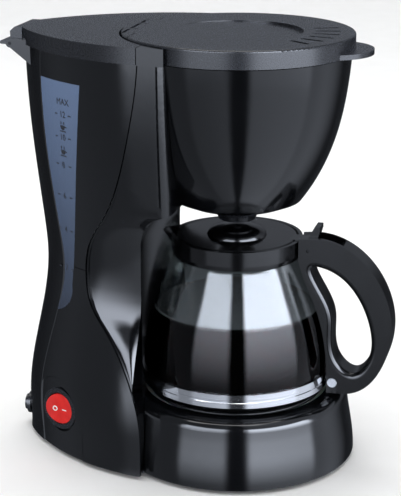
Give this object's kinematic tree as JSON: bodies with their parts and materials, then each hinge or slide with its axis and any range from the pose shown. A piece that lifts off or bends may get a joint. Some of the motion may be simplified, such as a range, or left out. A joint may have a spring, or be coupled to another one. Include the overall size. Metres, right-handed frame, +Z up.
{
  "type": "drip coffee maker",
  "caption": "Drip coffee maker with a waisted water tower, hinged tank and filter lids, drip-stop valve, rocker switch, warming plate and a lidded glass jug.",
  "frame": {"origin": "on the table under the brew axis, the centre of the warming plate", "axes": "+Z up, -Y to the front where the jug comes out, +X to the machine's far side from the water gauge"},
  "size_m": [0.1748, 0.2848, 0.31],
  "materials": {
    "gloss_black": "glossy moulded",
    "satin_black": "satin moulded",
    "gauge_blue": "clear blue-grey",
    "tank_clear": "translucent",
    "red_rocker": "translucent red",
    "rubber_black": "matt",
    "hose_silicone": "silicone",
    "plate_coating": "non-stick coating",
    "heater_alloy": "drawn",
    "steel_bright": "polished",
    "steel_plain": "plain",
    "nylon_mesh": "fine nylon mesh",
    "jug_glass": "clear"
  },
  "bodies": {
    "housing": {"base_drum": "gloss_black", "base_panel_left": "gloss_black", "base_panel_right": "gloss_black", "base_plate": "satin_black", "base_screws": "steel_plain", "brew_bowl": "gloss_black", "check_valve": "satin_black", "clamp_nut": "steel_plain", "column": "gloss_black", "cord_gland": "satin_black", "drip_nozzle": "satin_black", "filter_basket": "satin_black", "filter_lid_pin": "steel_plain", "heater_clamp": "steel_plain", "heater_tube": "heater_alloy", "heating_element": "heater_alloy", "hinge_bridge": "satin_black", "hose_clips": "steel_plain", "hot_plate": "plate_coating", "inlet_hose": "hose_silicone", "level_window": "gauge_blue", "mesh_filter": "nylon_mesh", "plate_seal": "hose_silicone", "rear_cover": "gloss_black", "riser_hose": "hose_silicone", "rubber_feet": "rubber_black", "spray_arm": "heater_alloy", "switch_bezel": "satin_black", "switch_body": "satin_black", "switch_panel": "gloss_black", "tank_lid_pin": "steel_plain", "tank_panel_left": "gloss_black", "tank_panel_right": "gloss_black", "thermal_fuse": "steel_plain", "thermostat": "steel_plain", "valve_spring": "steel_plain", "water_tank": "tank_clear"},
    "tank_lid": {"tank_lid": "satin_black"},
    "filter_lid": {"filter_lid": "satin_black"},
    "rocker": {"rocker": "red_rocker"},
    "carafe": {"glass_jug": "jug_glass", "jug_collar": "satin_black", "jug_strap": "steel_bright", "jug_handle": "satin_black", "handle_screw": "steel_bright", "handle_nut": "steel_plain", "jug_lid_pin": "steel_plain"},
    "jug_lid": {"jug_lid": "satin_black"},
    "valve_plunger": {"valve_plunger": "satin_black"}
  },
  "joints": [
    {"name": "tank_lid_hinge", "type": "hinge", "parent": "housing", "child": "tank_lid", "pos_m": [0, 0.16, 0.2976], "axis": [-1, 0, 0], "range_deg": [0, 88]},
    {"name": "filter_lid_hinge", "type": "hinge", "parent": "housing", "child": "filter_lid", "pos_m": [0, 0.0725, 0.3074], "axis": [-1, 0, 0], "range_deg": [0, 85]},
    {"name": "rocker_tip", "type": "hinge", "parent": "housing", "child": "rocker", "pos_m": [-0.04828, 0.11843, 0.036], "axis": [0, 0, -1], "range_deg": [0, 14]},
    {"name": "carafe_slide", "type": "slide", "parent": "housing", "child": "carafe", "axis": [0, -1, 0], "range_m": [0, 0.4]},
    {"name": "jug_lid_hinge", "type": "hinge", "parent": "carafe", "child": "jug_lid", "pos_m": [0, -0.054, 0.158], "axis": [1, 0, 0], "range_deg": [0, 34]},
    {"name": "valve_slide", "type": "slide", "parent": "housing", "child": "valve_plunger", "axis": [0, 0, -1], "range_m": [0, 0.0029], "deforming": ["valve_spring"]}
  ],
  "couplings": [
    {"joint": "jug_lid_hinge", "follows": "carafe_slide", "rad_per_m": 1.4835},
    {"joint": "valve_slide", "follows": "carafe_slide", "ratio": 0.00725}
  ]
}
